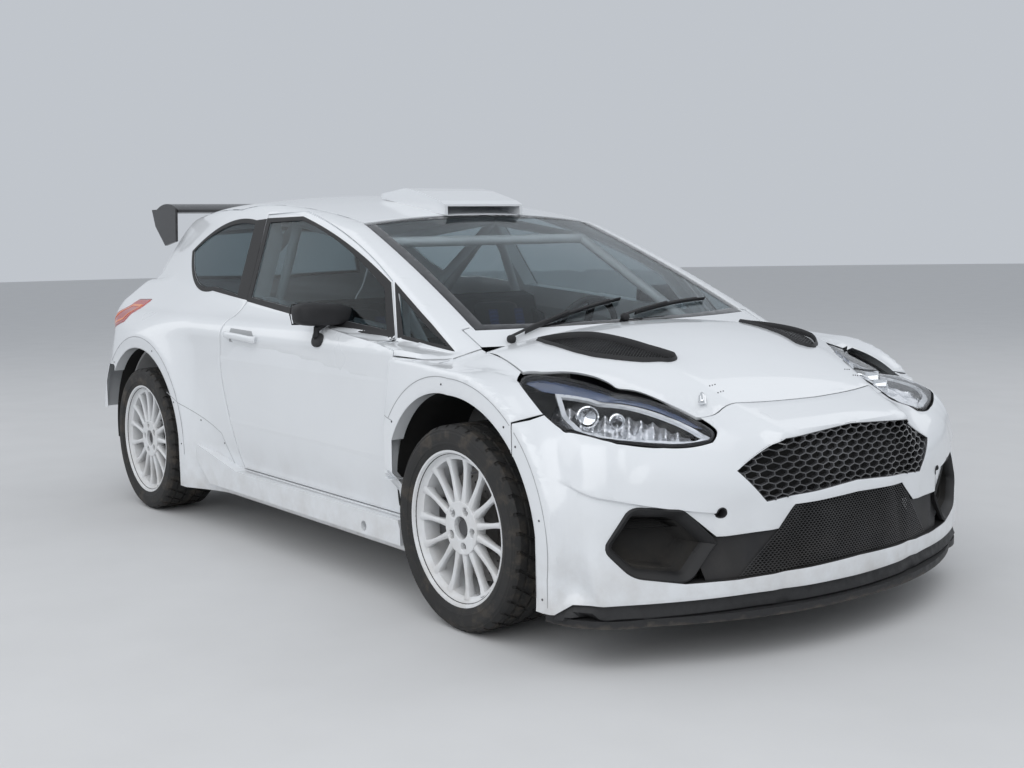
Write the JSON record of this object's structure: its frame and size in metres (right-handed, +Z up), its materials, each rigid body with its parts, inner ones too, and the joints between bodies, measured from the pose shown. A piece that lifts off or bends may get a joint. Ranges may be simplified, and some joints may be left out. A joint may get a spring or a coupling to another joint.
{
  "type": "rally car",
  "caption": "Three-door rally hatchback on tarmac wheels, with roof scoop, rear wing and roll cage; doors, bonnet and tailgate open, front wheels steer, wheels roll.",
  "frame": {"origin": "on the ground, at the middle of the car's length and width", "axes": "+X forward to the nose, +Y to the car's left, +Z up"},
  "size_m": [4.0644, 1.884, 1.4162],
  "materials": {
    "body_paint": "gloss white paint",
    "window_glass": "lightly tinted",
    "lamp_lens": "clear lens",
    "red_lens": "red lens",
    "gloss_black": "gloss black",
    "black_plastic": "satin black",
    "seat_shell": "woven cover on a shell",
    "guard_metal": "scuffed plate",
    "engine_metal": "dark cast metal",
    "exhaust_steel": "bare steel",
    "tyre": "worn tarmac tread",
    "rim_paint": "satin white paint",
    "disc_iron": "machined iron"
  },
  "bodies": {
    "shell": {"bulkhead": "body_paint", "cowl_panel": "black_plastic", "dashboard": "black_plastic", "engine": "engine_metal", "exhaust": "exhaust_steel", "floor_pan": "body_paint", "front_bumper": "body_paint", "front_splitter": "black_plastic", "front_wing_left": "body_paint", "front_wing_right": "body_paint", "headlamps": "lamp_lens", "intake_pods": "gloss_black", "lower_grille": "black_plastic", "quarter_windows": "window_glass", "rear_bumper": "body_paint", "rear_flare_left": "body_paint", "rear_flare_right": "body_paint", "rear_uprights": "engine_metal", "roll_cage": "body_paint", "roof_panel": "body_paint", "roof_scoop": "body_paint", "seats": "seat_shell", "side_frame_left": "body_paint", "side_frame_right": "body_paint", "side_skirts": "body_paint", "sump_guard": "guard_metal", "suspension_arms": "engine_metal", "tail_lamps": "red_lens", "upper_grille": "gloss_black", "windscreen": "window_glass", "wipers": "black_plastic"},
    "left_door": {"door_left": "body_paint", "door_window_left": "window_glass", "mirror_left": "gloss_black"},
    "right_door": {"door_right": "body_paint", "door_window_right": "window_glass", "mirror_right": "gloss_black"},
    "bonnet": {"bonnet": "body_paint", "bonnet_vents": "black_plastic"},
    "tailgate": {"tailgate": "body_paint", "rear_screen": "window_glass", "rear_wing": "black_plastic"},
    "steering_wheel": {"steering_wheel": "seat_shell"},
    "left_knuckle": {"knuckle_left": "engine_metal"},
    "right_knuckle": {"knuckle_right": "engine_metal"},
    "wheel_front_left": {"tyre_front_left": "tyre", "rim_front_left": "rim_paint", "brake_disc_front_left": "disc_iron"},
    "wheel_front_right": {"tyre_front_right": "tyre", "rim_front_right": "rim_paint", "brake_disc_front_right": "disc_iron"},
    "wheel_rear_left": {"tyre_rear_left": "tyre", "rim_rear_left": "rim_paint", "brake_disc_rear_left": "disc_iron"},
    "wheel_rear_right": {"tyre_rear_right": "tyre", "rim_rear_right": "rim_paint", "brake_disc_rear_right": "disc_iron"}
  },
  "joints": [
    {"name": "left_door_hinge", "type": "hinge", "parent": "shell", "child": "left_door", "pos_m": [0.8, 0.868, 0.6], "axis": [0, 0, -1], "range_deg": [0, 65]},
    {"name": "right_door_hinge", "type": "hinge", "parent": "shell", "child": "right_door", "pos_m": [0.8, -0.868, 0.6], "axis": [0, 0, 1], "range_deg": [0, 65]},
    {"name": "bonnet_hinge", "type": "hinge", "parent": "shell", "child": "bonnet", "pos_m": [1.07, 0, 0.907], "axis": [0, -1, 0], "range_deg": [0, 55]},
    {"name": "tailgate_hinge", "type": "hinge", "parent": "shell", "child": "tailgate", "pos_m": [-1.504, 0, 1.352], "axis": [0, 1, 0], "range_deg": [0, 80]},
    {"name": "left_steer", "type": "hinge", "parent": "shell", "child": "left_knuckle", "pos_m": [1.193, 0.735, 0.2], "axis": [-0.0339, -0.2647, 0.9637], "range_deg": [-30, 30]},
    {"name": "right_steer", "type": "hinge", "parent": "shell", "child": "right_knuckle", "pos_m": [1.193, -0.735, 0.2], "axis": [-0.0339, 0.2647, 0.9637], "range_deg": [-30, 30]},
    {"name": "steering_wheel_turn", "type": "hinge", "parent": "shell", "child": "steering_wheel", "pos_m": [0.33, 0.36, 0.805], "axis": [-0.9397, 0, 0.342], "range_deg": [-270, 270]},
    {"name": "front_left_spin", "type": "hinge", "parent": "left_knuckle", "child": "wheel_front_left", "pos_m": [1.187, 0.785, 0.3225], "axis": [0, 1, 0], "continuous": true},
    {"name": "front_right_spin", "type": "hinge", "parent": "right_knuckle", "child": "wheel_front_right", "pos_m": [1.187, -0.785, 0.3225], "axis": [0, 1, 0], "continuous": true},
    {"name": "rear_left_spin", "type": "hinge", "parent": "shell", "child": "wheel_rear_left", "pos_m": [-1.306, 0.785, 0.3225], "axis": [0, 1, 0], "continuous": true},
    {"name": "rear_right_spin", "type": "hinge", "parent": "shell", "child": "wheel_rear_right", "pos_m": [-1.306, -0.785, 0.3225], "axis": [0, 1, 0], "continuous": true}
  ],
  "couplings": [
    {"joint": "right_steer", "follows": "left_steer", "ratio": 1},
    {"joint": "steering_wheel_turn", "follows": "left_steer", "ratio": 9}
  ]
}
